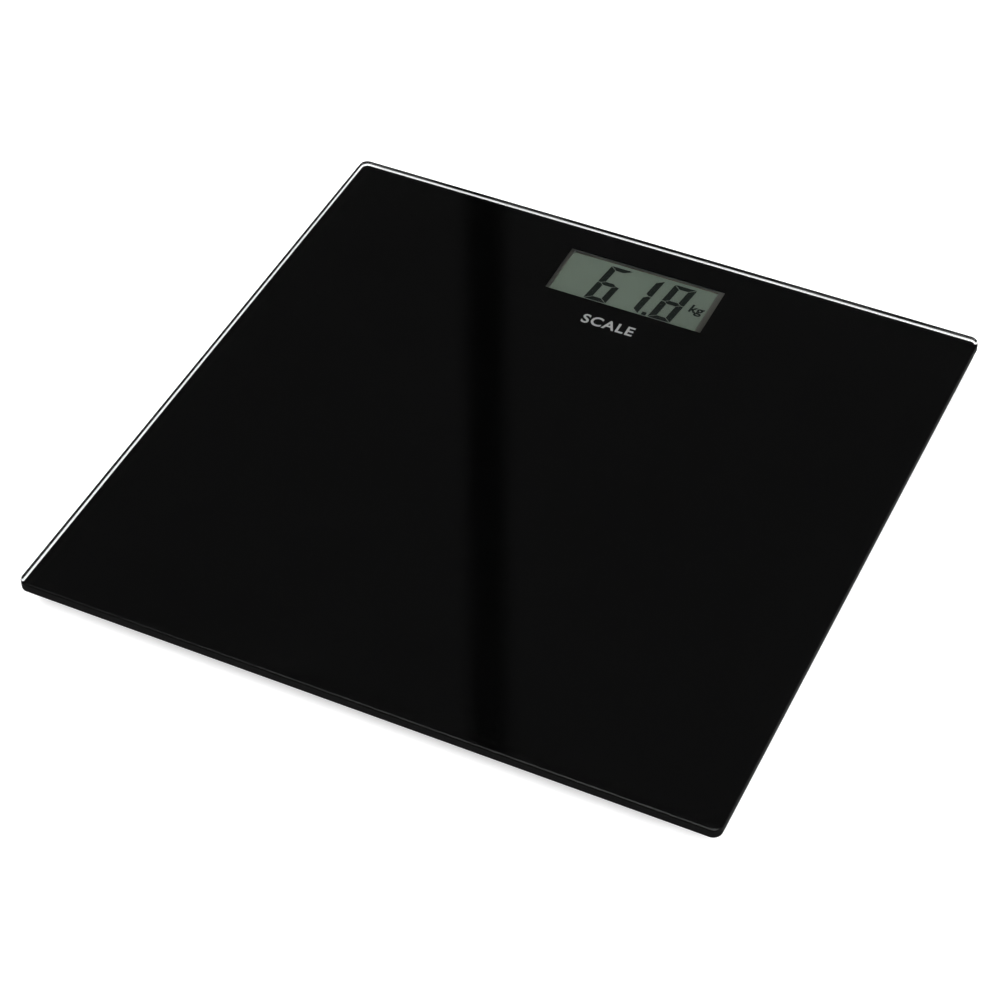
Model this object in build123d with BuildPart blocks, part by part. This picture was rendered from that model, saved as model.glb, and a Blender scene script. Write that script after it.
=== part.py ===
"""Digital bathroom scale: a square glass platform on four load-cell feet.

Millimetres, +Z up. The origin is on the floor under the middle of the glass,
+Y points to the display end, and the user stands facing +Y.
"""

from build123d import *
from math import pi, radians, sqrt, tan
import os

os.makedirs("parts", exist_ok=True)

# --- glass platform -------------------------------------------------------
glass_size = 300.0
glass_thickness = 5.0
glass_corner = 4.0
glass_edge_round = 1.0
glass_underside = 15.0  # height of the underside above the floor

print_thickness = 0.1
print_border = 1.1  # clear rim left between the print and the glass edge

window_width = 74.0
window_depth = 29.5
window_x = 0.8
window_back_margin = 30.5  # middle of the window to the back edge of the glass

# --- adhesive that holds everything to the print --------------------------
tape_thickness = 1.0
tape_width = 2.4

# --- feet -----------------------------------------------------------------
foot_inset = 42.0  # foot axis to the two nearest glass edges
housing_wall = 2.0
housing_top = 2.0
housing_floor_gap = 2.9
housing_edge_round = 1.2
adhesive_inner_radius = 18.0

cell_size = 34.0
cell_corner = 5.0
cell_thickness = 2.0
cell_rim = 4.2
cell_clearance = 2.0  # between the cell's corners and the housing's wall
cell_headroom = 1.0  # between the cell and the housing's top wall
cell_slit = 0.6
tongue_width = 10.0
tongue_reach = 5.5  # ball axis to the free end of the tongue
gauge_length = 6.5
gauge_width = 5.0
gauge_thickness = 0.5
gauge_offset = 6.4  # ball axis to the middle of the gauge

ball_radius = 2.5
ball_seat_radius = 1.9
ball_clearance = 0.05

cap_flange_clearance = 2.5  # round the flange, so that the cap can rock
cap_flange_width = 3.0
cap_flange_thickness = 1.2
cap_flange_height = 5.4
cap_hub_radius = 5.0
cap_hub_drop = 0.3  # top of the hub below the ball's centre
cap_base_height = 1.6
cap_edge_round = 0.5

pad_margin = 1.5  # rim of the cap round the pad
pad_recess = 0.8
pad_edge_round = 0.5
pad_groove_radius = 11.0
pad_groove_width = 1.6
pad_groove_depth = 0.6

retainer_clearance = 0.9
retainer_thickness = 1.2

# --- display module -------------------------------------------------------
module_bottom = 4.0
module_wall = 1.8
module_corner = 6.0
module_edge_round = 1.0

board_thickness = 1.2
board_standoff = 2.8  # above the housing's floor
board_clearance = 1.2  # board edge to the module's inner wall
board_side_strip = 7.0  # beside the display frame, for the screws
board_back_strip = 1.5
boss_radius = 3.0
screw_inset = 3.2  # screw axis to the board's edges
screw_shaft_radius = 0.9
screw_head_radius = 1.8
screw_head_height = 1.1
screw_length = 3.6
screw_clearance = 0.02

lcd_width = 78.0
lcd_front_depth = 36.0
lcd_rear_depth = 33.0
lcd_glass_thickness = 0.7
lcd_recess = 1.2  # front glass below the print
polariser_width = 69.8
polariser_depth = 30.2
polariser_shift = (-1.1, -0.4)  # from the middle of the window to the middle of the film
polariser_thickness = 0.15
lcd_fit = 0.2
lcd_frame_wall = 2.8
lcd_frame_ledge = 3.0
gasket_window_margin = 1.0
connector_length = 70.0
connector_width = 1.2

battery_radius = 10.0
battery_height = 3.2
battery_x = 24.0
battery_fit = 0.3
battery_lift = 0.6  # cell above the closed door
battery_gap = 0.9  # holder to the display frame
holder_wall = 1.5
holder_roof = 1.3
contact_thickness = 0.3
contact_width = 5.0

door_side_margin = 0.5  # door beyond the cell, each side
door_thickness = 1.6
door_gap = 0.2
door_knuckle_radius = 1.5
door_pin_radius = 0.8
door_pin_length = 1.5
door_pin_clearance = 0.05
door_lug_width = 2.3

button_x = -24.0
button_radius = 4.7
button_gap = 0.2
button_proud = 0.2
button_flange_radius = 6.2
button_flange_thickness = 0.7
button_flange_gap = 0.05
button_travel = 0.5
switch_size = 6.0
switch_height = 1.4
plunger_radius = 1.2
plunger_clearance = 0.1

label_width = 52.0
label_depth = 26.0
label_thickness = 0.1
label_back_shift = 2.5  # beyond the middle of the window

# --- leads ----------------------------------------------------------------
lead_radius = 1.0
lead_slot_clearance = 0.2
lead_glass_gap = 0.2
lead_front_x = 31.0  # where the front leads run back to the module
clip_length = 8.0
clip_width = 8.0
clip_wall = 0.9
clip_clearance = 0.2
clip_stations = (0.42, 0.62, 0.84)  # along a front lead, as shares of its length

# --- places worked out from the sizes above -------------------------------
half = glass_size / 2
print_bottom = glass_underside - print_thickness
tape_bottom = print_bottom - tape_thickness
window_y = half - window_back_margin

cell_reach = (cell_size / 2 - cell_corner) * sqrt(2) + cell_corner
housing_bore = cell_reach + cell_clearance
housing_radius = housing_bore + housing_wall
cap_flange_radius = housing_bore - cap_flange_clearance
cap_radius = cap_flange_radius - cap_flange_width
pad_radius = cap_radius - pad_margin
retainer_bore = cap_radius + retainer_clearance

foot_x = half - foot_inset
plate_bottom = tape_bottom - housing_top
cell_top = plate_bottom - cell_headroom
cell_bottom = cell_top - cell_thickness
ball_z = cell_bottom - sqrt((ball_radius + ball_clearance) ** 2 - ball_seat_radius**2)
cap_hub_top = ball_z - cap_hub_drop
feet = {
    "fl": (-foot_x, -foot_x, 1),
    "fr": (foot_x, -foot_x, -1),
    "bl": (-foot_x, foot_x, 1),
    "br": (foot_x, foot_x, -1),
}

lcd_top = print_bottom - lcd_recess
lcd_middle = lcd_top - lcd_glass_thickness
lcd_bottom = lcd_middle - lcd_glass_thickness
reflector_bottom = lcd_bottom - polariser_thickness
frame_width = lcd_width + 2 * (lcd_fit + lcd_frame_wall)
frame_depth = lcd_front_depth + 2 * (lcd_fit + lcd_frame_wall)

holder_bore = battery_radius + battery_fit
holder_radius = holder_bore + holder_wall
battery_y = window_y - frame_depth / 2 - battery_gap - holder_radius
battery_bottom = module_bottom + door_thickness + battery_lift
battery_top = battery_bottom + battery_height
contact_top = battery_top + contact_thickness

module_floor_top = module_bottom + module_wall
inner_front_y = battery_y - holder_radius - door_gap
module_front_y = inner_front_y - module_wall
board_half_width = frame_width / 2 + board_side_strip
board_front_y = inner_front_y + board_clearance
board_back_y = window_y + frame_depth / 2 + board_back_strip
board_height = module_floor_top + board_standoff
board_top = board_height + board_thickness
inner_half_width = board_half_width + board_clearance
module_half_width = inner_half_width + module_wall
module_back_y = board_back_y + board_clearance + module_wall
module_depth = module_back_y - module_front_y
module_y = (module_back_y + module_front_y) / 2

door_width = 2 * (battery_radius + door_side_margin)
hinge_y = battery_y + holder_bore + door_gap + door_knuckle_radius
hinge_z = module_bottom + door_knuckle_radius
door_front_y = battery_y - holder_bore
opening_front_y = door_front_y - door_gap
opening_back_y = hinge_y + door_knuckle_radius + door_gap
opening_half_width = door_width / 2 + door_gap
button_y = battery_y

lead_low_z = (cell_top + cell_bottom) / 2
lead_high_z = print_bottom - lead_glass_gap - lead_radius

module_plane = Plane((window_x, 0, 0))
screw_places = [
    (sx * (board_half_width - screw_inset), y)
    for sx in (-1, 1)
    for y in (board_front_y + screw_inset, board_back_y - screw_inset)
]


def save(piece, label):
    """Label a finished piece and write it as one STEP file."""
    piece.part.label = label
    export_step(piece.part, f"parts/{label}.step")


# --- glass platform: toughened float glass with a ground, rounded edge ----
with BuildPart() as glass_platform:
    with BuildSketch(Plane.XY.offset(glass_underside)):
        RectangleRounded(glass_size, glass_size, glass_corner)
    extrude(amount=glass_thickness)
    fillet(faces().filter_by(Axis.Z).edges(), glass_edge_round)
save(glass_platform, "glass_platform")

# --- back print: opaque ink film under the glass, open over the display ---
with BuildPart() as back_print:
    with BuildSketch(Plane.XY.offset(print_bottom)):
        RectangleRounded(
            glass_size - 2 * print_border,
            glass_size - 2 * print_border,
            glass_corner - print_border,
        )
        with Locations((window_x, window_y)):
            Rectangle(window_width, window_depth, mode=Mode.SUBTRACT)
    extrude(amount=print_thickness)
save(back_print, "back_print")

# --- foam rings that hold the foot housings to the print ------------------
with BuildPart() as adhesive_rings:
    with BuildSketch(Plane.XY.offset(tape_bottom)):
        with Locations([(x, y) for x, y, _ in feet.values()]):
            Circle(housing_radius - housing_edge_round)
            Circle(adhesive_inner_radius, mode=Mode.SUBTRACT)
    extrude(amount=tape_thickness)
save(adhesive_rings, "adhesive_rings")

# --- retainers: rings in the mouths of the housings that keep the caps in -
with BuildPart() as foot_retainers:
    with BuildSketch(Plane.XY.offset(housing_floor_gap)):
        with Locations([(x, y) for x, y, _ in feet.values()]):
            Circle(housing_bore)
            Circle(retainer_bore, mode=Mode.SUBTRACT)
    extrude(amount=retainer_thickness)
save(foot_retainers, "foot_retainers")


def build_foot(corner, x, y, inward):
    """One load-cell foot. Its own +X points to the middle of the glass."""
    base = Plane((x, y, 0), x_dir=(inward, 0, 0), z_dir=(0, 0, 1))

    # moulded cup, open downwards, with two rails that carry the cell's rim
    with BuildPart() as foot_housing:
        with BuildSketch(base.offset(housing_floor_gap)):
            Circle(housing_radius)
        extrude(amount=tape_bottom - housing_floor_gap)
        fillet(faces().sort_by(Axis.Z)[-1].edges(), housing_edge_round)
        with BuildSketch(base.offset(housing_floor_gap)):
            Circle(housing_bore)
        extrude(amount=plate_bottom - housing_floor_gap, mode=Mode.SUBTRACT)
        with BuildSketch(base.offset(cell_top)):
            with GridLocations(0, cell_size - cell_rim, 1, 2):
                Rectangle(cell_size - 2 * cell_corner, cell_rim)
        extrude(amount=cell_headroom)
        slot_width = 2 * (lead_radius + lead_slot_clearance)
        with BuildSketch(base.offset(lead_low_z - slot_width / 2)):
            with Locations((housing_radius - housing_wall / 2, 0)):
                Rectangle(2 * housing_wall, slot_width)
        extrude(amount=slot_width, mode=Mode.SUBTRACT)
    save(foot_housing, f"foot_housing_{corner}")

    # half-bridge load cell: a punched steel rim, and in it the tongue that bends
    with BuildPart() as load_cell:
        inner = cell_size - 2 * cell_rim
        tongue_root = -(inner + cell_rim) / 2
        with BuildSketch(base.offset(cell_bottom)):
            RectangleRounded(cell_size, cell_size, cell_corner)
            Rectangle(inner, inner, mode=Mode.SUBTRACT)
            with Locations(((tongue_reach + tongue_root) / 2, 0)):
                Rectangle(tongue_reach - tongue_root, tongue_width)
            with Locations((tongue_reach, 0)):
                head = inner - 2 * cell_slit
                Rectangle(2 * (tongue_reach - cell_slit), head)
            Circle(ball_seat_radius, mode=Mode.SUBTRACT)
        extrude(amount=cell_thickness)
    save(load_cell, f"load_cell_{corner}")

    # strain gauges under a bead of white silicone
    with BuildPart() as strain_gauge:
        with BuildSketch(base.offset(cell_top)):
            with Locations((-gauge_offset, 0)):
                RectangleRounded(gauge_length, gauge_width, 1)
        extrude(amount=gauge_thickness)
    save(strain_gauge, f"strain_gauge_{corner}")

    # bearing ball between the tongue and the cap
    with BuildPart() as steel_ball:
        with Locations((x, y, ball_z)):
            Sphere(ball_radius)
    save(steel_ball, f"steel_ball_{corner}")

    # moulded cap that rocks on the ball
    with BuildPart() as foot_cap:
        with BuildSketch(base.offset(cap_base_height)):
            Circle(cap_radius)
        extrude(amount=cap_flange_height - cap_base_height)
        fillet(faces().sort_by(Axis.Z)[0].edges(), cap_edge_round)
        with BuildSketch(base.offset(cap_flange_height)):
            Circle(cap_flange_radius)
        extrude(amount=cap_flange_thickness)
        with BuildSketch(base.offset(cap_flange_height + cap_flange_thickness)):
            Circle(cap_hub_radius)
        extrude(amount=cap_hub_top - cap_flange_height - cap_flange_thickness)
        with Locations((x, y, ball_z)):
            Sphere(ball_radius + ball_clearance, mode=Mode.SUBTRACT)
        with BuildSketch(base.offset(cap_base_height)):
            Circle(pad_radius)
        extrude(amount=pad_recess, mode=Mode.SUBTRACT)
    save(foot_cap, f"foot_cap_{corner}")

    # rubber pad, glued in the recess of the cap
    with BuildPart() as foot_pad:
        with BuildSketch(base):
            Circle(pad_radius)
        extrude(amount=cap_base_height + pad_recess)
        fillet(faces().sort_by(Axis.Z)[0].edges(), pad_edge_round)
        with BuildSketch(base):
            Circle(pad_groove_radius)
            Circle(pad_groove_radius - pad_groove_width, mode=Mode.SUBTRACT)
        extrude(amount=pad_groove_depth, mode=Mode.SUBTRACT)
    save(foot_pad, f"foot_pad_{corner}")


for corner, (x, y, inward) in feet.items():
    build_foot(corner, x, y, inward)

# --- display housing: moulded tub, open to the glass ----------------------
slot_half = lead_radius + lead_slot_clearance
with BuildPart() as display_housing:
    with BuildSketch(module_plane.offset(module_bottom)):
        with Locations((0, module_y)):
            RectangleRounded(2 * module_half_width, module_depth, module_corner)
    extrude(amount=tape_bottom - module_bottom)
    fillet(faces().sort_by(Axis.Z)[0].edges(), module_edge_round)
    with BuildSketch(module_plane.offset(module_floor_top)):
        with Locations((0, module_y)):
            RectangleRounded(
                2 * inner_half_width,
                module_depth - 2 * module_wall,
                module_corner - module_wall,
            )
    extrude(amount=tape_bottom - module_floor_top, mode=Mode.SUBTRACT)
    with BuildSketch(module_plane.offset(module_floor_top)):
        with Locations(screw_places):
            Circle(boss_radius)
    extrude(amount=board_height - module_floor_top)
    with BuildSketch(module_plane.offset(module_floor_top)):
        with Locations((battery_x, hinge_y)):
            with GridLocations(2 * opening_half_width + door_lug_width, 0, 2, 1):
                Rectangle(door_lug_width, 2 * (door_knuckle_radius + door_gap))
    extrude(amount=hinge_z + door_knuckle_radius - module_floor_top)
    with BuildSketch(module_plane.offset(board_height)):
        with Locations(screw_places):
            Circle(screw_shaft_radius + screw_clearance)
    extrude(amount=module_wall - (board_height - module_bottom), mode=Mode.SUBTRACT)
    with BuildSketch(module_plane.offset(module_bottom)):
        with Locations((battery_x, (opening_front_y + opening_back_y) / 2)):
            Rectangle(2 * opening_half_width, opening_back_y - opening_front_y)
        with Locations((button_x, button_y)):
            Circle(button_radius + button_gap)
    extrude(amount=module_wall, mode=Mode.SUBTRACT)
    pin_reach = opening_half_width + door_lug_width - 0.6
    pin_plane = Plane(
        (window_x + battery_x - pin_reach, hinge_y, hinge_z), z_dir=(1, 0, 0)
    )
    with BuildSketch(pin_plane):
        Circle(door_pin_radius + door_pin_clearance)
    extrude(amount=2 * pin_reach, mode=Mode.SUBTRACT)
    with BuildSketch(module_plane.offset(lead_high_z - slot_half)):
        with Locations((0, foot_x)):
            with GridLocations(2 * module_half_width, 0, 2, 1):
                Rectangle(3 * module_wall, 2 * slot_half)
        with Locations((-window_x, module_front_y)):
            with GridLocations(2 * lead_front_x, 0, 2, 1):
                Rectangle(2 * slot_half, 3 * module_wall)
    extrude(amount=2 * slot_half, mode=Mode.SUBTRACT)
save(display_housing, "display_housing")

# --- tape frame between the housing's rim and the print -------------------
with BuildPart() as module_tape:
    with BuildSketch(module_plane.offset(tape_bottom)):
        with Locations((0, module_y)):
            RectangleRounded(2 * module_half_width, module_depth, module_corner)
            RectangleRounded(
                2 * (module_half_width - tape_width),
                module_depth - 2 * tape_width,
                module_corner - tape_width,
                mode=Mode.SUBTRACT,
            )
        with Locations((0, foot_x)):
            with GridLocations(2 * module_half_width, 0, 2, 1):
                Rectangle(3 * tape_width, 2 * slot_half, mode=Mode.SUBTRACT)
        with Locations((-window_x, module_front_y)):
            with GridLocations(2 * lead_front_x, 0, 2, 1):
                Rectangle(2 * slot_half, 3 * tape_width, mode=Mode.SUBTRACT)
    extrude(amount=tape_thickness)
save(module_tape, "module_tape")

# --- circuit board, notched round the battery holder ----------------------
notch_half = opening_half_width + door_lug_width + door_gap
with BuildPart() as circuit_board:
    with BuildSketch(module_plane.offset(board_height)):
        with Locations((0, (board_front_y + board_back_y) / 2)):
            Rectangle(2 * board_half_width, board_back_y - board_front_y)
        with Locations((battery_x, (board_front_y + opening_back_y) / 2)):
            Rectangle(
                2 * notch_half,
                opening_back_y - board_front_y + 2 * door_gap,
                mode=Mode.SUBTRACT,
            )
        with Locations(screw_places):
            Circle(screw_shaft_radius + screw_clearance, mode=Mode.SUBTRACT)
    extrude(amount=board_thickness)
save(circuit_board, "circuit_board")

# --- four self-tapping screws that hold the board to the bosses -----------
with BuildPart() as board_screws:
    with BuildSketch(module_plane.offset(board_top)):
        with Locations(screw_places):
            Circle(screw_head_radius)
    extrude(amount=screw_head_height)
    with BuildSketch(module_plane.offset(board_top)):
        with Locations(screw_places):
            Circle(screw_shaft_radius)
    extrude(amount=-screw_length)
    with BuildSketch(module_plane.offset(board_top + screw_head_height)):
        with Locations(screw_places):
            Rectangle(2.2, 0.5)
            Rectangle(0.5, 2.2)
    extrude(amount=-screw_head_height / 2, mode=Mode.SUBTRACT)
save(board_screws, "board_screws")

# --- liquid crystal display, held in a moulded frame on the board ---------
display_plane = Plane((window_x, window_y, 0))

with BuildPart() as lcd_front_glass:
    with BuildSketch(display_plane.offset(lcd_middle)):
        Rectangle(lcd_width, lcd_front_depth)
    extrude(amount=lcd_glass_thickness)
save(lcd_front_glass, "lcd_front_glass")

with BuildPart() as lcd_rear_glass:
    with BuildSketch(display_plane.offset(lcd_bottom)):
        Rectangle(lcd_width, lcd_rear_depth)
    extrude(amount=lcd_glass_thickness)
save(lcd_rear_glass, "lcd_rear_glass")

with BuildPart() as lcd_polariser:
    with BuildSketch(display_plane.offset(lcd_top)):
        with Locations(polariser_shift):
            Rectangle(polariser_width, polariser_depth)
    extrude(amount=polariser_thickness)
save(lcd_polariser, "lcd_polariser")

with BuildPart() as lcd_reflector:
    with BuildSketch(display_plane.offset(reflector_bottom)):
        with Locations(polariser_shift):
            Rectangle(polariser_width, polariser_depth)
    extrude(amount=polariser_thickness)
save(lcd_reflector, "lcd_reflector")

with BuildPart() as lcd_frame:
    with BuildSketch(display_plane.offset(board_top)):
        Rectangle(frame_width, frame_depth)
        Rectangle(
            lcd_width + 2 * lcd_fit,
            lcd_front_depth + 2 * lcd_fit,
            mode=Mode.SUBTRACT,
        )
    extrude(amount=lcd_top - board_top)
    ledge_x = lcd_width / 2 + lcd_fit - lcd_frame_ledge / 2
    with BuildSketch(display_plane.offset(board_top)):
        with GridLocations(2 * ledge_x, 0, 2, 1):
            Rectangle(lcd_frame_ledge, lcd_rear_depth)
    extrude(amount=lcd_bottom - board_top)
save(lcd_frame, "lcd_frame")

with BuildPart() as light_gasket:
    with BuildSketch(display_plane.offset(lcd_top)):
        Rectangle(frame_width, frame_depth)
        Rectangle(
            window_width + 2 * gasket_window_margin,
            window_depth + 2 * gasket_window_margin,
            mode=Mode.SUBTRACT,
        )
    extrude(amount=lcd_recess)
save(light_gasket, "light_gasket")

# two strips of layered conductive rubber under the front glass's ledges
with BuildPart() as rubber_connectors:
    connector_y = (lcd_front_depth + lcd_rear_depth) / 4
    with BuildSketch(display_plane.offset(board_top)):
        with GridLocations(0, 2 * connector_y, 1, 2):
            Rectangle(connector_length, connector_width)
    extrude(amount=lcd_middle - board_top)
save(rubber_connectors, "rubber_connectors")

# --- chip under a blob of black resin, on the board's underside -----------
blob_radius = 6.5
blob_height = 1.4
with BuildPart() as chip_blob:
    with BuildSketch(Plane((window_x, window_y, board_height), z_dir=(0, 0, -1))):
        Circle(blob_radius)
    extrude(amount=blob_height)
    fillet(faces().sort_by(Axis.Z)[0].edges(), blob_height - 0.1)
save(chip_blob, "chip_blob")

# --- small components along the free front strip of the board -------------
chip_row_y = board_front_y + 12.0
with BuildPart() as board_components:
    with BuildSketch(module_plane.offset(board_top)):
        with Locations((-8, chip_row_y)):
            with GridLocations(4, 5, 4, 2):
                Rectangle(2.0, 1.25)
        with Locations((-24, chip_row_y)):
            Rectangle(5.0, 3.9)
    extrude(amount=0.8)
    with BuildSketch(module_plane.offset(board_top)):
        with Locations((-36, chip_row_y)):
            Circle(1.6)
    extrude(amount=2.6)
save(board_components, "board_components")

# --- unit switch: tactile switch under the board, worked by the button ----
button_flange_bottom = module_floor_top + button_flange_gap
button_flange_top = button_flange_bottom + button_flange_thickness
switch_bottom = board_height - switch_height
with BuildPart() as unit_switch:
    with BuildSketch(module_plane.offset(switch_bottom)):
        with Locations((button_x, button_y)):
            RectangleRounded(switch_size, switch_size, 0.6)
            Circle(plunger_radius + plunger_clearance, mode=Mode.SUBTRACT)
    extrude(amount=switch_height)
save(unit_switch, "unit_switch")

with BuildPart() as switch_plunger:
    plunger_top = board_height - button_travel - plunger_clearance
    with BuildSketch(module_plane.offset(button_flange_top)):
        with Locations((button_x, button_y)):
            Circle(plunger_radius)
    extrude(amount=plunger_top - button_flange_top)
save(switch_plunger, "switch_plunger")

with BuildPart() as unit_button:
    with BuildSketch(module_plane.offset(module_bottom - button_proud)):
        with Locations((button_x, button_y)):
            Circle(button_radius)
    extrude(amount=button_flange_bottom - module_bottom + button_proud)
    fillet(faces().sort_by(Axis.Z)[0].edges(), 0.4)
    with BuildSketch(module_plane.offset(button_flange_bottom)):
        with Locations((button_x, button_y)):
            Circle(button_flange_radius)
    extrude(amount=button_flange_thickness)
save(unit_button, "unit_button")

# --- battery compartment --------------------------------------------------
battery_plane = Plane((window_x + battery_x, battery_y, 0))

with BuildPart() as coin_cell:
    with BuildSketch(battery_plane.offset(battery_bottom)):
        Circle(battery_radius)
    extrude(amount=battery_height)
    fillet(edges().filter_by(GeomType.CIRCLE), 0.3)
save(coin_cell, "coin_cell")

# cup that stands on the housing's floor over the door
with BuildPart() as battery_holder:
    with BuildSketch(battery_plane.offset(module_floor_top)):
        Circle(holder_radius)
    extrude(amount=contact_top + holder_roof - module_floor_top)
    with BuildSketch(battery_plane.offset(module_floor_top)):
        Circle(holder_bore)
    extrude(amount=contact_top - module_floor_top, mode=Mode.SUBTRACT)
    with BuildSketch(battery_plane.offset(module_floor_top)):
        with Locations((0, hinge_y - battery_y)):
            Rectangle(
                2 * holder_radius,
                2 * (door_knuckle_radius + door_gap) + door_gap,
            )
        with Locations((holder_radius, 0)):
            Rectangle(2 * holder_wall + 1, contact_width + 2 * battery_fit)
    extrude(
        amount=hinge_z + door_knuckle_radius + door_gap - module_floor_top,
        mode=Mode.SUBTRACT,
    )
    with BuildSketch(battery_plane.offset(module_floor_top)):
        with Locations((holder_radius, 0)):
            Rectangle(2 * holder_wall + 1, contact_width + 2 * battery_fit)
    extrude(amount=contact_top - module_floor_top, mode=Mode.SUBTRACT)
save(battery_holder, "battery_holder")

# sprung strip on the rim of the cell (positive)
with BuildPart() as battery_contact_plus:
    with BuildSketch(battery_plane.offset(battery_bottom)):
        with Locations((battery_radius + contact_thickness / 2, 0)):
            Rectangle(contact_thickness, contact_width)
    extrude(amount=contact_top - battery_bottom - contact_thickness)
save(battery_contact_plus, "battery_contact_plus")

# plate with a raised tongue on the face of the cell (negative)
with BuildPart() as battery_contact_minus:
    with BuildSketch(battery_plane.offset(battery_top)):
        Circle(battery_radius - 2.5)
        Rectangle(2 * battery_radius - 8, 1.2, mode=Mode.SUBTRACT)
        with Locations((-battery_radius / 2, 0)):
            Rectangle(battery_radius - 4, contact_width)
    extrude(amount=contact_thickness)
save(battery_contact_minus, "battery_contact_minus")

# door that swings down on its two stub pins
with BuildPart() as battery_door:
    door_length = hinge_y - door_front_y
    with BuildSketch(module_plane.offset(module_bottom)):
        with Locations((battery_x, hinge_y - door_length / 2)):
            Rectangle(door_width, door_length)
    extrude(amount=door_thickness)
    knuckle_plane = Plane(
        (window_x + battery_x - door_width / 2, hinge_y, hinge_z), z_dir=(1, 0, 0)
    )
    with BuildSketch(knuckle_plane):
        Circle(door_knuckle_radius)
    extrude(amount=door_width)
    with BuildSketch(knuckle_plane.offset(-door_pin_length)):
        Circle(door_pin_radius)
    extrude(amount=door_width + 2 * door_pin_length)
    with BuildSketch(module_plane.offset(module_bottom)):
        with Locations((battery_x, door_front_y)):
            Circle(4.0)
    extrude(amount=door_thickness / 2, mode=Mode.SUBTRACT)
save(battery_door, "battery_door")

# --- blank rating label on the housing ------------------------------------
with BuildPart() as rating_label:
    with BuildSketch(module_plane.offset(module_bottom - label_thickness)):
        with Locations((0, window_y + label_back_shift)):
            RectangleRounded(label_width, label_depth, 2)
    extrude(amount=label_thickness)
save(rating_label, "rating_label")

# --- leads: three-core sheathed cable, clipped under the glass ------------
lead_start = foot_x - cell_size / 2 - 0.5
lead_drop_x = foot_x - housing_radius - 5
lead_rise_x = lead_drop_x - 9
module_side_x = module_half_width - module_wall - 3
front_lane_y = -foot_x
lane_end_y = module_front_y + module_wall + 3


def build_lead(label, side, points):
    """A round lead swept along straight runs with large tangent arcs."""
    route = [Vector(side * x, y, z) for x, y, z in points]
    runs = [b - a for a, b in zip(route, route[1:])]
    radii = [
        0.45 * min(a.length, b.length) / tan(radians(a.get_angle(b)) / 2)
        for a, b in zip(runs, runs[1:])
    ]
    with BuildPart() as lead:
        with BuildLine() as path:
            FilletPolyline(*route, radius=radii)
        line = path.wires()[0]
        with BuildSketch(Plane(line @ 0, z_dir=line % 0)):
            Circle(lead_radius)
        sweep(path=line)
    save(lead, label)
    swept = lead.part.volume / (pi * lead_radius**2 * line.length)
    print(label, "radii", [round(r, 1) for r in radii], "volume ratio", round(swept, 4))
    return line


front_points = [
    (lead_start, front_lane_y, lead_low_z),
    (lead_drop_x, front_lane_y, lead_low_z),
    (lead_rise_x, front_lane_y + 0.6, lead_high_z),
    (lead_rise_x - 14, front_lane_y + 2, lead_high_z),
    (lead_front_x + 7, front_lane_y + 12, lead_high_z),
    (lead_front_x, front_lane_y + 34, lead_high_z),
    (lead_front_x + 1.5, front_lane_y + 78, lead_high_z),
    (lead_front_x - 0.8, front_lane_y + 130, lead_high_z),
    (lead_front_x, lane_end_y, lead_high_z),
]
front_lines = [
    build_lead(f"lead_{corner}", side, front_points)
    for corner, side in (("fl", -1), ("fr", 1))
]
for corner, side in (("bl", -1), ("br", 1)):
    back_points = [
        (lead_start, foot_x, lead_low_z),
        (lead_drop_x, foot_x, lead_low_z),
        (lead_rise_x, foot_x, lead_high_z),
        (module_side_x + side * window_x, foot_x, lead_high_z),
    ]
    build_lead(f"lead_{corner}", side, back_points)

# --- clips: adhesive saddles over the front leads -------------------------
with BuildPart() as lead_clips:
    for line in front_lines:
        for station in clip_stations:
            spot = line @ station
            way = line % station
            seat = Plane((spot.X, spot.Y, print_bottom), x_dir=way, z_dir=(0, 0, -1))
            with BuildSketch(seat):
                RectangleRounded(clip_length, clip_width, 1)
            extrude(amount=print_bottom - lead_high_z + lead_radius + clip_wall)
            channel_radius = lead_radius + clip_clearance
            with BuildSketch(seat):
                Rectangle(2 * clip_length, 2 * channel_radius)
            extrude(amount=print_bottom - lead_high_z, mode=Mode.SUBTRACT)
            with BuildSketch(Plane(spot - way * clip_length, z_dir=way)):
                Circle(channel_radius)
            extrude(amount=2 * clip_length, mode=Mode.SUBTRACT)
save(lead_clips, "lead_clips")
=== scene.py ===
"""Looks of the digital bathroom scale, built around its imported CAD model."""

import math

import bmesh
import bpy
from mathutils import Matrix, Vector


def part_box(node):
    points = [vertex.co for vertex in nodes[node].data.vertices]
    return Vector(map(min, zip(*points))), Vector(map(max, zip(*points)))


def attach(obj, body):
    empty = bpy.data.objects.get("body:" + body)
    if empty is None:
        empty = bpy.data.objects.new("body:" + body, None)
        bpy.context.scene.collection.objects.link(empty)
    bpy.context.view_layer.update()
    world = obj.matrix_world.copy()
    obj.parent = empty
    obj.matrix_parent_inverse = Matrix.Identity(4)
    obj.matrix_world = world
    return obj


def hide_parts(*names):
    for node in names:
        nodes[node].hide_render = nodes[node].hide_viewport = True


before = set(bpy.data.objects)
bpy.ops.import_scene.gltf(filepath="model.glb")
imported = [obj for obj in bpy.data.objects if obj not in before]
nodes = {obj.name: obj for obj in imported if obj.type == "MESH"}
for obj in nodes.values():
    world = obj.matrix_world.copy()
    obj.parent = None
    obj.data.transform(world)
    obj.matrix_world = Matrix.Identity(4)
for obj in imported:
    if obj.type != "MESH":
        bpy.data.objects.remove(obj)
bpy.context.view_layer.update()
scene = bpy.context.scene

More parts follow.
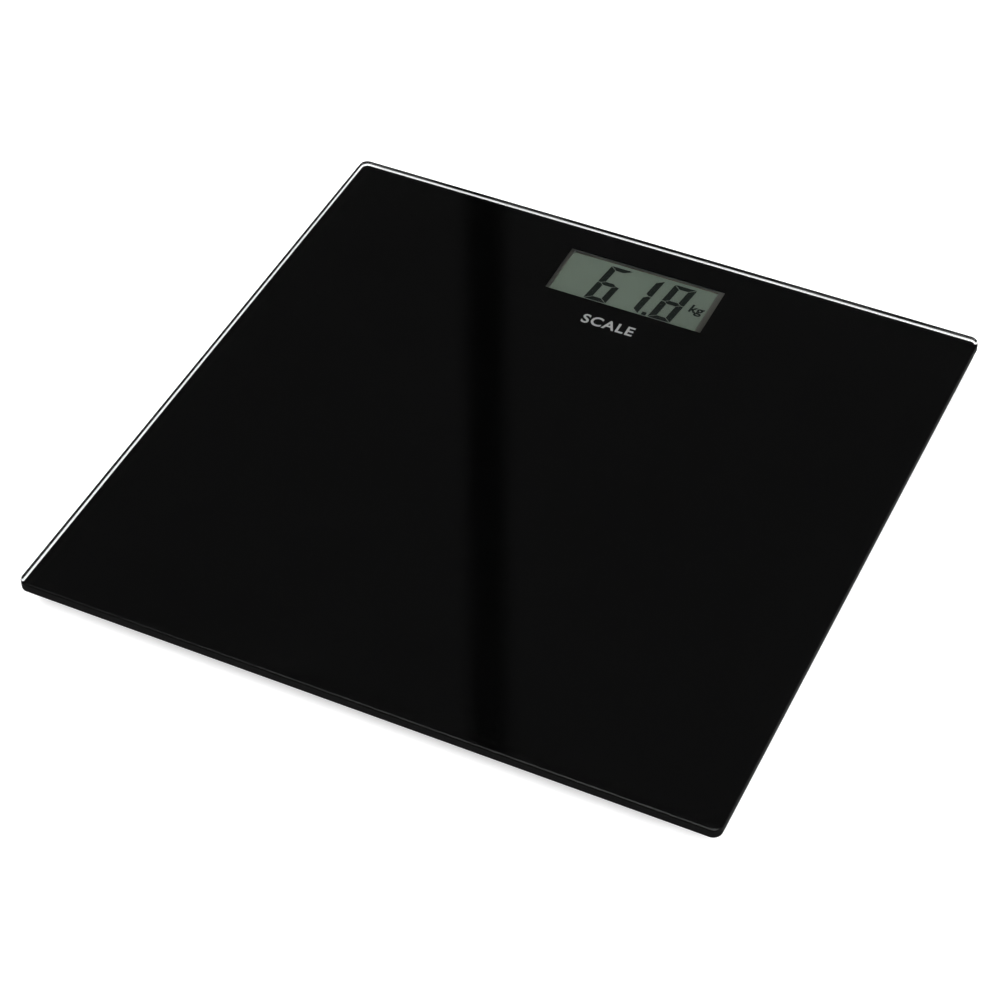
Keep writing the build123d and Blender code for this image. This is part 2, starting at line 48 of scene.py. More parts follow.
# --- camera ---------------------------------------------------------------
# A long lens looks down on the platform from the user's right.
_, glass_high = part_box("glass_platform")
azimuth, elevation, roll = math.radians(25.53), math.radians(44.60), math.radians(-0.39)
distance = 1.1551
aim = Vector((-0.0017, -0.0155, glass_high.z - 0.0135))
back = Vector(
    (
        math.sin(azimuth) * math.cos(elevation),
        -math.cos(azimuth) * math.cos(elevation),
        math.sin(elevation),
    )
)
camera = bpy.data.objects.new("camera", bpy.data.cameras.new("camera"))
camera.data.sensor_width = 36
camera.data.lens = 100.4
camera.data.clip_end = 50
facing = back.to_track_quat("Z", "Y").to_matrix().to_4x4()
camera.matrix_world = (
    Matrix.Translation(aim + back * distance) @ facing @ Matrix.Rotation(roll, 4, "Z")
)
scene.collection.objects.link(camera)
scene.camera = camera


# --- floor ----------------------------------------------------------------
# A light table: one sheet of matt opal acrylic, lit evenly from below, which leaves
# only a faint shadow. It is larger than any view needs.
def linear(hex_colour):
    """sRGB hex to linear RGBA."""
    parts = [int(hex_colour[i : i + 2], 16) / 255 for i in (1, 3, 5)]
    return (*(c / 12.92 if c <= 0.04045 else ((c + 0.055) / 1.055) ** 2.4 for c in parts), 1)


def new_material(name, colour, roughness, **inputs):
    """A material with one Principled shader; returns it, its tree and its shader."""
    material = bpy.data.materials.new(name)
    material.use_nodes = True
    shader = material.node_tree.nodes["Principled BSDF"]
    shader.inputs["Base Color"].default_value = linear(colour)
    shader.inputs["Roughness"].default_value = roughness
    for socket, value in inputs.items():
        shader.inputs[socket.replace("_", " ")].default_value = value
    return material, material.node_tree, shader


def paint(piece, material):
    """Give a piece this material and no other."""
    piece.data.materials.clear()
    piece.data.materials.append(material)


def mesh_object(name, mesh):
    """Link a mesh to the scene as an object at the origin."""
    piece = bpy.data.objects.new(name, mesh)
    scene.collection.objects.link(piece)
    return piece


opal_acrylic, _, shader = new_material(
    "matt_opal_acrylic", "#f7f7f7", 0.9, Specular_IOR_Level=0.1, Emission_Strength=0.28
)
shader.inputs["Emission Color"].default_value = (1, 1, 1, 1)
floor_half = 15
floor_shape = bmesh.new()
bmesh.ops.create_grid(floor_shape, x_segments=2, y_segments=2, size=floor_half)
floor_mesh = bpy.data.meshes.new("floor")
floor_shape.to_mesh(floor_mesh)
floor_shape.free()
floor = mesh_object("floor", floor_mesh)
paint(floor, opal_acrylic)


# --- studio light ---------------------------------------------------------
# A broad softbox above the camera, with a low fill on each side. The glass mirrors the
# dim room behind it, which has one darker upright strip; its edges mirror the pale
# ceiling over the camera and the dark floor under the table.
def add(tree, kind, inputs=None, **settings):
    """Add a node with its settings; an input is a value or another node's output."""
    made = tree.nodes.new(kind)
    for name, value in settings.items():
        setattr(made, name, value)
    for name, value in (inputs or {}).items():
        if isinstance(value, bpy.types.NodeSocket):
            tree.links.new(value, made.inputs[name])
        else:
            made.inputs[name].default_value = value
    return made


def softbox(name, place, size, power, through_glass=True):
    """A rectangular area light that faces the object and isn't mirrored in it."""
    light = bpy.data.lights.new(name, "AREA")
    light.shape = "RECTANGLE"
    light.size, light.size_y = size
    light.energy = power
    lamp = bpy.data.objects.new(name, light)
    lamp.matrix_world = (
        Matrix.Translation(place) @ Vector(place).to_track_quat("Z", "Y").to_matrix().to_4x4()
    )
    lamp.visible_glossy = False
    lamp.visible_transmission = through_glass
    scene.collection.objects.link(lamp)


scene.view_settings.view_transform = "Standard"
softbox("key", (0.55, -1.2, 2.25), (2.4, 1.8), 95)
softbox("fill_left", (-2.2, -0.9, 1.0), (1.6, 1.2), 25, through_glass=False)
softbox("fill_right", (2.3, -0.3, 1.0), (1.6, 1.2), 25, through_glass=False)
floor.visible_glossy = False

back_glow, ceiling_glow, under_glow, sweep_glow = 0.047, 1.2, 0.1, 0.62
strip_middle, strip_core, strip_fade = 0.0046, 0.0022, 0.0095
across = Vector((math.cos(azimuth), math.sin(azimuth), 0))
ceiling = Vector((0.5 * math.sin(azimuth), -0.5 * math.cos(azimuth), 0.87))
world = bpy.data.worlds.new("studio")
world.use_nodes = True
tree = world.node_tree
way = add(tree, "ShaderNodeTexCoord").outputs["Generated"]
sideways = add(tree, "ShaderNodeVectorMath", {0: way, 1: across}, operation="DOT_PRODUCT")
off_strip = add(
    tree, "ShaderNodeMath", {0: sideways.outputs["Value"], 1: strip_middle}, operation="ADD"
)
from_strip = add(tree, "ShaderNodeMath", {0: off_strip.outputs[0]}, operation="ABSOLUTE")
wall_glow = add(
    tree,
    "ShaderNodeMapRange",
    {
        "Value": from_strip.outputs[0],
        "From Min": strip_core,
        "From Max": strip_core + strip_fade,
        "To Min": 0.0,
        "To Max": back_glow,
    },
    interpolation_type="SMOOTHSTEP",
)
strength = wall_glow.outputs["Result"]
for side, start, end, glow in (
    (ceiling, 0.72, 0.9, ceiling_glow),
    ((0, 0, -1), 0.0, 0.2, under_glow),
):
    facing_it = add(tree, "ShaderNodeVectorMath", {0: way, 1: side}, operation="DOT_PRODUCT")
    share = add(
        tree,
        "ShaderNodeMapRange",
        {"Value": facing_it.outputs["Value"], "From Min": start, "From Max": end},
    )
    strength = add(
        tree, "ShaderNodeMix", {"Factor": share.outputs["Result"], "A": strength, "B": glow}
    ).outputs["Result"]
# The camera sees a pale sweep behind the table; the glass mirrors the dim room.
in_view = add(
    tree,
    "ShaderNodeMix",
    {
        "Factor": add(tree, "ShaderNodeLightPath").outputs["Is Camera Ray"],
        "A": strength,
        "B": sweep_glow,
    },
)
tree.links.new(in_view.outputs["Result"], tree.nodes["Background"].inputs["Strength"])
tree.nodes["Background"].inputs["Color"].default_value = (1, 1, 1, 1)
scene.world = world

# --- glass platform -------------------------------------------------------
# Toughened clear float glass, 5 mm, its edge ground round on a diamond wheel and then
# polished. The faces are fire-smooth; the edge keeps a slight haze from the wheel.
MM = 0.001
edge_haze = 0.05
float_glass, tree, shader = new_material(
    "clear_float_glass", "#fafcfb", 0.0, IOR=1.52, Transmission_Weight=1.0
)
normal = add(
    tree,
    "ShaderNodeSeparateXYZ",
    {"Vector": add(tree, "ShaderNodeTexCoord").outputs["Normal"]},
)
upright = add(tree, "ShaderNodeMath", {0: normal.outputs["Z"]}, operation="ABSOLUTE")
haze = add(
    tree,
    "ShaderNodeMapRange",
    {
        "Value": upright.outputs[0],
        "From Min": 0.9,
        "From Max": 0.999,
        "To Min": edge_haze,
        "To Max": 0.0,
    },
)
tree.links.new(haze.outputs["Result"], shader.inputs["Roughness"])
paint(nodes["glass_platform"], float_glass)


# --- back print -----------------------------------------------------------
# Opaque black ink, screened on the underside in two coats with a window left open. It
# bonds to the glass, so its top lies a hair inside it and no air gap shows.
def rounded_outline(spline, low, high, radius, steps=10):
    """Fill a cyclic poly spline with a rectangle whose corners are arcs."""
    points = []
    for turn, (cx, cy) in enumerate(
        (
            (high.x - radius, high.y - radius),
            (low.x + radius, high.y - radius),
            (low.x + radius, low.y + radius),
            (high.x - radius, low.y + radius),
        )
    ):
        for step in range(steps + 1 if radius else 1):
            angle = math.pi / 2 * (turn + step / steps)
            points.append((cx + radius * math.cos(angle), cy + radius * math.sin(angle)))
    spline.points.add(len(points) - 1)
    for point, (x, y) in zip(spline.points, points):
        point.co = (x, y, 0, 1)
    spline.use_cyclic_u = True


def to_mesh(name, curve, place):
    """Turn a flat curve or text into a mesh that lies at its place."""
    drawn = bpy.data.objects.new(name + "_drawn", curve)
    scene.collection.objects.link(drawn)
    mesh = bpy.data.meshes.new_from_object(
        drawn.evaluated_get(bpy.context.evaluated_depsgraph_get())
    )
    bpy.data.objects.remove(drawn)
    mesh.transform(Matrix.Translation(place))
    shape = bmesh.new()
    shape.from_mesh(mesh)
    bmesh.ops.remove_doubles(shape, verts=shape.verts, dist=1e-6)
    bmesh.ops.recalc_face_normals(shape, faces=shape.faces)
    shape.to_mesh(mesh)
    shape.free()
    return mesh_object(name, mesh)


def flat_plate(name, outlines, low_z, high_z):
    """A plate between two heights, from (low, high, corner radius); later ones are holes."""
    curve = bpy.data.curves.new(name, "CURVE")
    curve.dimensions = "2D"
    curve.fill_mode = "BOTH"
    curve.extrude = (high_z - low_z) / 2
    for low, high, radius in outlines:
        rounded_outline(curve.splines.new("POLY"), low, high, radius)
    return to_mesh(name, curve, (0, 0, (low_z + high_z) / 2))


def moulded_grain(tree, shader, pitch, depth, detail=3.0):
    """Bump of this pitch and depth, on the piece's own coordinates, which it returns."""
    place = add(tree, "ShaderNodeTexCoord").outputs["Object"]
    noise = add(
        tree, "ShaderNodeTexNoise", {"Vector": place, "Scale": 1 / pitch, "Detail": detail}
    )
    bump = add(
        tree, "ShaderNodeBump", {"Height": noise.outputs[0], "Distance": depth, "Strength": 1.0}
    )
    tree.links.new(bump.outputs["Normal"], shader.inputs["Normal"])
    return place


def drifting(tree, socket, place, pitch, low, high):
    """Let an input drift between two numbers or two colours over this distance."""
    noise = add(tree, "ShaderNodeTexNoise", {"Vector": place, "Scale": 1 / pitch, "Detail": 4.0})
    if isinstance(low, str):
        mix = add(
            tree,
            "ShaderNodeMix",
            {"Factor": noise.outputs[0], 6: linear(low), 7: linear(high)},
            data_type="RGBA",
        )
        tree.links.new(mix.outputs[2], socket)
    else:
        span = add(
            tree,
            "ShaderNodeMapRange",
            {
                "Value": noise.outputs[0],
                "From Min": 0.3,
                "From Max": 0.7,
                "To Min": low,
                "To Max": high,
            },
        )
        tree.links.new(span.outputs["Result"], socket)


ink, tree, shader = new_material("black_screen_ink", "#020202", 0.5, Specular_IOR_Level=0.05)
place = moulded_grain(tree, shader, 0.35 * MM, 0.004 * MM)
drifting(tree, shader.inputs["Base Color"], place, 9 * MM, "#010101", "#030303")
drifting(tree, shader.inputs["Roughness"], place, 14 * MM, 0.45, 0.6)
print_low, print_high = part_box("back_print")
display_low, display_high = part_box("lcd_frame")
display_middle = (display_low + display_high) / 2
window_half = Vector((37.0 * MM, 14.75 * MM))
print_corner = 2.9 * MM
ink_bite = 0.03 * MM
ink_print = flat_plate(
    "ink_print",
    [
        (print_low.xy, print_high.xy, print_corner),
        (display_middle.xy - window_half, display_middle.xy + window_half, 0),
    ],
    print_low.z,
    print_high.z + ink_bite,
)
paint(ink_print, ink)
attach(ink_print, "root")
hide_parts("back_print")

# --- printed word ---------------------------------------------------------
# A plain word in pale grey ink, screened on the glass before the black goes over it.
pale_ink, tree, shader = new_material("pale_grey_screen_ink", "#c9c9c9", 0.6)
place = moulded_grain(tree, shader, 0.3 * MM, 0.003 * MM)
drifting(tree, shader.inputs["Base Color"], place, 1.5 * MM, "#c2c2c2", "#cfcfcf")
word_below = 27.2 * MM
word = bpy.data.curves.new("printed_word", "FONT")
word.body = "SCALE"
word.align_x = "CENTER"
word.align_y = "CENTER"
word.space_character = 1.12
word.size = 8.0 * MM
word.offset = 0.16 * MM
word.extrude = 0.03 * MM
printed_word = to_mesh(
    "printed_word",
    word,
    (display_middle.x - 1.4 * MM, display_middle.y - word_below, print_high.z + ink_bite),
)
paint(printed_word, pale_ink)
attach(printed_word, "root")

# --- foam tapes -----------------------------------------------------------
# Closed-cell polyethylene foam, 1 mm, die-cut with adhesive on both sides. Cut cells
# give the edge a fine sponge; a denser black foam seals round the display.
for name, colours, cell in (
    ("closed_cell_foam", ("#232427", "#2e2f32"), 0.28 * MM),
    ("black_gasket_foam", ("#0b0b0c", "#131314"), 0.2 * MM),
):
    foam, tree, shader = new_material(name, colours[0], 0.95, Specular_IOR_Level=0.2)
    place = add(tree, "ShaderNodeTexCoord").outputs["Object"]
    cells = add(tree, "ShaderNodeTexVoronoi", {"Vector": place, "Scale": 1 / cell})
    bump = add(
        tree,
        "ShaderNodeBump",
        {"Height": cells.outputs["Distance"], "Distance": 0.06 * MM, "Strength": 0.8},
    )
    tree.links.new(bump.outputs["Normal"], shader.inputs["Normal"])
    drifting(tree, shader.inputs["Base Color"], place, 0.8 * MM, *colours)
    for node in ("light_gasket",) if "gasket" in name else ("adhesive_rings", "module_tape"):
        paint(nodes[node], foam)

# --- housings, caps and clips ---------------------------------------------
# Black ABS, injection moulded in spark-eroded tools: an even matt grain about a third
# of a millimetre across, a little shinier where it has been handled.
black_abs, tree, shader = new_material("black_moulded_abs", "#161618", 0.5, IOR=1.54)
place = moulded_grain(tree, shader, 0.33 * MM, 0.03 * MM)
drifting(tree, shader.inputs["Roughness"], place, 18 * MM, 0.42, 0.58)
drifting(tree, shader.inputs["Base Color"], place, 25 * MM, "#141416", "#1a1a1c")
corners = ("fl", "fr", "bl", "br")
for node in (
    "display_housing",
    "battery_door",
    "foot_retainers",
    "lead_clips",
    "switch_plunger",
    *(f"foot_housing_{corner}" for corner in corners),
    *(f"foot_cap_{corner}" for corner in corners),
):
    paint(nodes[node], black_abs)

# --- load cells -----------------------------------------------------------
# Spring steel, blanked in a press and nickel plated. The blank keeps the straight
# rolling marks of the strip, and its gauge is potted in white silicone.
cell_steel, tree, shader = new_material(
    "nickel_plated_spring_steel", "#b4b1aa", 0.35, Metallic=1.0
)
place = add(tree, "ShaderNodeTexCoord").outputs["Object"]
drawn_out = add(tree, "ShaderNodeMapping", {"Vector": place, "Scale": (30, 1500, 1500)})
rolling = add(
    tree, "ShaderNodeTexNoise", {"Vector": drawn_out.outputs["Vector"], "Scale": 1.0, "Detail": 3.0}
)
bump = add(
    tree, "ShaderNodeBump", {"Height": rolling.outputs[0], "Distance": 0.01 * MM, "Strength": 0.7}
)
tree.links.new(bump.outputs["Normal"], shader.inputs["Normal"])
drifting(tree, shader.inputs["Roughness"], place, 5 * MM, 0.28, 0.46)
drifting(tree, shader.inputs["Base Color"], place, 8 * MM, "#aaa79f", "#bdbab3")

potting, tree, shader = new_material(
    "white_silicone_potting", "#e4e2dc", 0.4, Subsurface_Weight=0.15
)
shader.inputs["Subsurface Scale"].default_value = 0.8 * MM
place = moulded_grain(tree, shader, 1.8 * MM, 0.12 * MM, detail=1.0)
drifting(tree, shader.inputs["Base Color"], place, 3 * MM, "#dedbd3", "#ebe9e4")

bearing_steel, tree, shader = new_material(
    "polished_bearing_steel", "#cfcfce", 0.06, Metallic=1.0
)
place = moulded_grain(tree, shader, 0.15 * MM, 0.0008 * MM)
drifting(tree, shader.inputs["Roughness"], place, 1.2 * MM, 0.04, 0.12)
for corner in corners:
    paint(nodes[f"load_cell_{corner}"], cell_steel)
    paint(nodes[f"strain_gauge_{corner}"], potting)
    paint(nodes[f"steel_ball_{corner}"], bearing_steel)


# --- foot pads ------------------------------------------------------------
# Black rubber, compression moulded: a disc with a bead round its rim, a groove halfway
# and a field of small studs that grip the floor. Each is glued in its cap.
def turned(name, profile, centre, sides=72):
    """Turn a closed profile of (radius, height), which starts and ends on the axis."""
    shape = bmesh.new()
    rings = []
    for radius, height in profile:
        if radius == 0:
            rings.append([shape.verts.new((centre.x, centre.y, height))])
            continue
        rings.append(
            [
                shape.verts.new(
                    (
                        centre.x + radius * math.cos(2 * math.pi * i / sides),
                        centre.y + radius * math.sin(2 * math.pi * i / sides),
                        height,
                    )
                )
                for i in range(sides)
            ]
        )
    for one, two in zip(rings, rings[1:]):
        for i in range(sides):
            j = (i + 1) % sides
            loop = [one[i % len(one)], one[j % len(one)], two[j % len(two)], two[i % len(two)]]
            shape.faces.new(list(dict.fromkeys(loop)))
    bmesh.ops.recalc_face_normals(shape, faces=shape.faces)
    mesh = bpy.data.meshes.new(name)
    shape.to_mesh(mesh)
    shape.free()
    return mesh_object(name, mesh)


def rule_tree(name, inputs):
    """A Geometry Nodes tree with named inputs; returns it, its inputs and its output."""
    made = bpy.data.node_groups.new(name, "GeometryNodeTree")
    made.interface.new_socket("Geometry", in_out="OUTPUT", socket_type="NodeSocketGeometry")
    for label, kind in inputs.items():
        made.interface.new_socket(label, in_out="INPUT", socket_type="NodeSocket" + kind)
    given = made.nodes.new("NodeGroupInput").outputs
    return made, given, made.nodes.new("NodeGroupOutput").inputs[0]


def by_rule(name, rule, values, start=None):
    """Run a tree with these values, on a starting mesh if it takes one, as a plain mesh."""
    holder = bpy.data.objects.new(name + "_rule", start or bpy.data.meshes.new(name))
    scene.collection.objects.link(holder)
    modifier = holder.modifiers.new("rule", "NODES")
    modifier.node_group = rule
    for item in rule.interface.items_tree:
        if item.name in values:
            modifier[item.identifier] = values[item.name]
    mesh = bpy.data.meshes.new_from_object(
        holder.evaluated_get(bpy.context.evaluated_depsgraph_get())
    )
    holder.modifiers.remove(modifier)
    bpy.data.objects.remove(holder)
    return mesh_object(name, mesh)


rubber, tree, shader = new_material(
    "moulded_black_rubber", "#151515", 0.72, Specular_IOR_Level=0.35
)
place = moulded_grain(tree, shader, 0.25 * MM, 0.02 * MM)
drifting(tree, shader.inputs["Base Color"], place, 6 * MM, "#111111", "#1c1c1b")
drifting(tree, shader.inputs["Roughness"], place, 4 * MM, 0.62, 0.82)

stud_rule, given, result = rule_tree(
    "stud_field",
    {
        "Centre": "Vector",
        "Count": "Int",
        "Pitch": "Float",
        "Field radius": "Float",
        "Groove radius": "Float",
        "Groove half width": "Float",
        "Foot radius": "Float",
        "Tip radius": "Float",
        "Height": "Float",
    },
)
steps = add(stud_rule, "ShaderNodeMath", {0: given["Count"], 1: 1.0}, operation="SUBTRACT")
span = add(
    stud_rule, "ShaderNodeMath", {0: steps.outputs[0], 1: given["Pitch"]}, operation="MULTIPLY"
)
grid = add(
    stud_rule,
    "GeometryNodeMeshGrid",
    {
        "Size X": span.outputs[0],
        "Size Y": span.outputs[0],
        "Vertices X": given["Count"],
        "Vertices Y": given["Count"],
    },
)
out_from_middle = add(
    stud_rule,
    "ShaderNodeVectorMath",
    {0: add(stud_rule, "GeometryNodeInputPosition").outputs[0]},
    operation="LENGTH",
)
past_field = add(
    stud_rule,
    "ShaderNodeMath",
    {0: out_from_middle.outputs["Value"], 1: given["Field radius"]},
    operation="GREATER_THAN",
)
in_groove = add(
    stud_rule,
    "ShaderNodeMath",
    {0: out_from_middle.outputs["Value"], 1: given["Groove radius"], 2: given["Groove half width"]},
    operation="COMPARE",
)
left_out = add(
    stud_rule,
    "ShaderNodeMath",
    {0: past_field.outputs[0], 1: in_groove.outputs[0]},
    operation="ADD",
)
field = add(
    stud_rule,
    "GeometryNodeDeleteGeometry",
    {"Geometry": grid.outputs["Mesh"], "Selection": left_out.outputs[0]},
    domain="POINT",
)
stud = add(
    stud_rule,
    "GeometryNodeMeshCone",
    {
        "Vertices": 12,
        "Radius Top": given["Foot radius"],
        "Radius Bottom": given["Tip radius"],
        "Depth": given["Height"],
    },
)
studs = add(
    stud_rule,
    "GeometryNodeInstanceOnPoints",
    {"Points": field.outputs["Geometry"], "Instance": stud.outputs["Mesh"]},
)
placed = add(
    stud_rule,
    "GeometryNodeTransform",
    {
        "Geometry": add(
            stud_rule, "GeometryNodeRealizeInstances", {"Geometry": studs.outputs[0]}
        ).outputs[0],
        "Translation": given["Centre"],
    },
)
finished = add(
    stud_rule, "GeometryNodeSetMaterial", {"Geometry": placed.outputs[0], "Material": rubber}
)
stud_rule.links.new(finished.outputs[0], result)

stud_height = 0.45 * MM
groove_radius, groove_half = 10.2 * MM, 0.8 * MM
for corner in corners:
    low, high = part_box(f"foot_pad_{corner}")
    centre = Vector(((low.x + high.x) / 2, (low.y + high.y) / 2, 0))
    rim = (high.x - low.x) / 2
    tread = low.z + stud_height
    bead = 1.5 * MM
    pad = turned(
        f"pad_{corner}",
        [
            (0, high.z),
            (rim - 0.1 * MM, high.z),
            (rim, high.z - 0.1 * MM),
            (rim, low.z + 0.6 * MM),
            (rim - 0.18 * MM, low.z + 0.18 * MM),
            (rim - 0.6 * MM, low.z),
            (rim - bead + 0.3 * MM, low.z),
            (rim - bead, tread),
            (groove_radius + groove_half, tread),
            (groove_radius + groove_half - 0.2 * MM, tread + 0.45 * MM),
            (groove_radius - groove_half + 0.2 * MM, tread + 0.45 * MM),
            (groove_radius - groove_half, tread),
            (0, tread),
        ],
        centre,
    )
    paint(pad, rubber)
    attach(pad, f"foot_{corner}")
    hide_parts(f"foot_pad_{corner}")
    pad_studs = by_rule(
        f"pad_studs_{corner}",
        stud_rule,
        {
            "Centre": (centre.x, centre.y, low.z),
            "Count": 13,
            "Pitch": 2.5 * MM,
            "Field radius": rim - bead - 0.8 * MM,
            "Groove radius": groove_radius,
            "Groove half width": groove_half + 0.7 * MM,
            "Foot radius": 0.8 * MM,
            "Tip radius": 0.55 * MM,
            "Height": stud_height + 0.1 * MM,
        },
    )
    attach(pad_studs, f"foot_{corner}")

# --- display --------------------------------------------------------------
# A reflective liquid crystal cell: two glass plates with the segments between them, a
# polariser on top, and a grey-green reflector film behind, held in a moulded frame.
crystal_glass, tree, shader = new_material(
    "crystal_cell_glass", "#f9f9f8", 0.03, IOR=1.52, Transmission_Weight=1.0
)
front_low, front_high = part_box("lcd_front_glass")
rear_low, rear_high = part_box("lcd_rear_glass")
film_low, film_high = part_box("lcd_polariser")
_, reflector_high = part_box("lcd_reflector")
step_in = 0.1 * MM
shape = bmesh.new()
stack = []
for low, high, height, inset in (
    (rear_low, rear_high, reflector_high.z + 0.02 * MM, step_in),
    (rear_low, rear_high, front_low.z, step_in),
    (front_low, front_high, front_low.z, 0),
    (front_low, front_high, front_high.z, 0),
    (film_low, film_high, front_high.z, 0),
    (film_low, film_high, film_high.z, 0),
):
    stack.append(
        [
            shape.verts.new((x, y, height))
            for x, y in (
                (low.x + inset, low.y),
                (high.x - inset, low.y),
                (high.x - inset, high.y),
                (low.x + inset, high.y),
            )
        ]
    )
shape.faces.new(stack[0])
shape.faces.new(stack[-1])
for one, two in zip(stack, stack[1:]):
    for i in range(4):
        shape.faces.new((one[i], one[(i + 1) % 4], two[(i + 1) % 4], two[i]))
bmesh.ops.recalc_face_normals(shape, faces=shape.faces)
cell_mesh = bpy.data.meshes.new("crystal_cell")
shape.to_mesh(cell_mesh)
shape.free()
crystal_cell = mesh_object("crystal_cell", cell_mesh)
paint(crystal_cell, crystal_glass)
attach(crystal_cell, "root")
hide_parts("lcd_front_glass", "lcd_rear_glass", "lcd_polariser")

reflector_film, tree, shader = new_material(
    "grey_green_reflector_film", "#a0afa0", 0.55, Specular_IOR_Level=0.2
)
place = moulded_grain(tree, shader, 0.12 * MM, 0.004 * MM)
drifting(tree, shader.inputs["Base Color"], place, 0.25 * MM, "#9eada0", "#a2b1a3")
paint(nodes["lcd_reflector"], reflector_film)

# Epoxy printed round the edge of the cell glues the two plates together.
seal_epoxy, tree, shader = new_material("grey_epoxy_seal", "#7d7a75", 0.5)
place = moulded_grain(tree, shader, 0.3 * MM, 0.004 * MM)
drifting(tree, shader.inputs["Base Color"], place, 2 * MM, "#787570", "#827f7a")
cell_seal = flat_plate(
    "cell_seal",
    [(front_low.xy, front_high.xy, 0), (film_low.xy, film_high.xy, 0)],
    front_low.z - 0.02 * MM,
    front_low.z - 0.01 * MM,
)
paint(cell_seal, seal_epoxy)
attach(cell_seal, "root")

taupe_abs, tree, shader = new_material("taupe_moulded_abs", "#aca8a3", 0.6, IOR=1.54)
place = moulded_grain(tree, shader, 0.3 * MM, 0.02 * MM)
drifting(tree, shader.inputs["Base Color"], place, 6 * MM, "#a9a5a0", "#afaba6")
paint(nodes["lcd_frame"], taupe_abs)

# --- display segments -----------------------------------------------------
# Each place of the display has seven mitred bars of liquid crystal, slanted to the
# right; a bar that is switched on turns dark. They lie between the two glass plates.
dark_crystal, tree, shader = new_material(
    "switched_liquid_crystal", "#2a332f", 0.6, Specular_IOR_Level=0.0
)
place = moulded_grain(tree, shader, 0.3 * MM, 0.002 * MM)
drifting(tree, shader.inputs["Base Color"], place, 2 * MM, "#28312d", "#2d3632")
digit_width, digit_height = 10.5 * MM, 24.9 * MM
upright_bar, level_bar, mitre_gap = 3.1 * MM, 2.4 * MM, 0.22 * MM
slant = math.tan(math.radians(7))
w, h, u, t, g = digit_width, digit_height, upright_bar, level_bar, mitre_gap
top_bar = [(g, h), (w - g, h), (w - u - g, h - t), (u + g, h - t)]
upper_left = [(0, h - g), (u, h - t - g), (u, (h + t) / 2 + g), (u / 2, h / 2 + g), (0, h / 2 + g)]
middle_bar = [
    (u / 2 + g, h / 2),
    (u + g, (h + t) / 2),
    (w - u - g, (h + t) / 2),
    (w - u / 2 - g, h / 2),
    (w - u - g, (h - t) / 2),
    (u + g, (h - t) / 2),
]
upper_right = [(w - x, y) for x, y in upper_left]
bars = [
    top_bar,
    upper_right,
    [(x, h - y) for x, y in upper_right],
    [(x, h - y) for x, y in top_bar],
    [(x, h - y) for x, y in upper_left],
    upper_left,
    middle_bar,
]
shape = bmesh.new()
bar_number = shape.verts.layers.int.new("bar")
for number, outline in enumerate(bars):
    low_ring, high_ring = (
        [shape.verts.new((x + slant * y, y, z)) for x, y in outline]
        for z in (-0.01 * MM, 0.01 * MM)
    )
    for vert in low_ring + high_ring:
        vert[bar_number] = number
    shape.faces.new(low_ring)
    shape.faces.new(high_ring)
    for i, (a, b) in enumerate(zip(low_ring, high_ring)):
        j = (i + 1) % len(outline)
        shape.faces.new((a, low_ring[j], high_ring[j], b))
bmesh.ops.recalc_face_normals(shape, faces=shape.faces)
digit_mesh = bpy.data.meshes.new("digit_bars")
shape.to_mesh(digit_mesh)
shape.free()

digit_rule, given, result = rule_tree(
    "digit_row",
    {
        "Bars": "Geometry",
        "First place": "Vector",
        "Pitch": "Vector",
        "Lit in place 1": "Int",
        "Lit in place 2": "Int",
        "Lit in place 3": "Int",
        "Lit in place 4": "Int",
    },
)
row = add(
    digit_rule,
    "GeometryNodeMeshLine",
    {"Count": 4, "Start Location": given["First place"], "Offset": given["Pitch"]},
)
numbered = add(
    digit_rule,
    "GeometryNodeStoreNamedAttribute",
    {
        "Geometry": row.outputs["Mesh"],
        "Name": "place",
        "Value": add(digit_rule, "GeometryNodeInputIndex").outputs[0],
    },
    data_type="INT",
    domain="POINT",
)
digits = add(
    digit_rule,
    "GeometryNodeInstanceOnPoints",
    {"Points": numbered.outputs["Geometry"], "Instance": given["Bars"]},
)
loose = add(digit_rule, "GeometryNodeRealizeInstances", {"Geometry": digits.outputs[0]})
which_place = add(
    digit_rule, "GeometryNodeInputNamedAttribute", {"Name": "place"}, data_type="INT"
)
which_bar = add(digit_rule, "GeometryNodeInputNamedAttribute", {"Name": "bar"}, data_type="INT")
pattern = add(digit_rule, "GeometryNodeIndexSwitch", data_type="INT")
while len(pattern.index_switch_items) < 4:
    pattern.index_switch_items.new()
digit_rule.links.new(which_place.outputs[0], pattern.inputs["Index"])
for number in range(4):
    digit_rule.links.new(given[f"Lit in place {number + 1}"], pattern.inputs[number + 1])
weight = add(digit_rule, "ShaderNodeMath", {0: 2.0, 1: which_bar.outputs[0]}, operation="POWER")
share = add(
    digit_rule, "ShaderNodeMath", {0: pattern.outputs[0], 1: weight.outputs[0]}, operation="DIVIDE"
)
whole = add(digit_rule, "ShaderNodeMath", {0: share.outputs[0]}, operation="FLOOR")
is_on = add(digit_rule, "ShaderNodeMath", {0: whole.outputs[0], 1: 2.0}, operation="MODULO")
is_off = add(digit_rule, "ShaderNodeMath", {0: is_on.outputs[0], 1: 0.5}, operation="LESS_THAN")
lit = add(
    digit_rule,
    "GeometryNodeDeleteGeometry",
    {"Geometry": loose.outputs[0], "Selection": is_off.outputs[0]},
    domain="POINT",
)
finished = add(
    digit_rule, "GeometryNodeSetMaterial", {"Geometry": lit.outputs[0], "Material": dark_crystal}
)
digit_rule.links.new(finished.outputs[0], result)

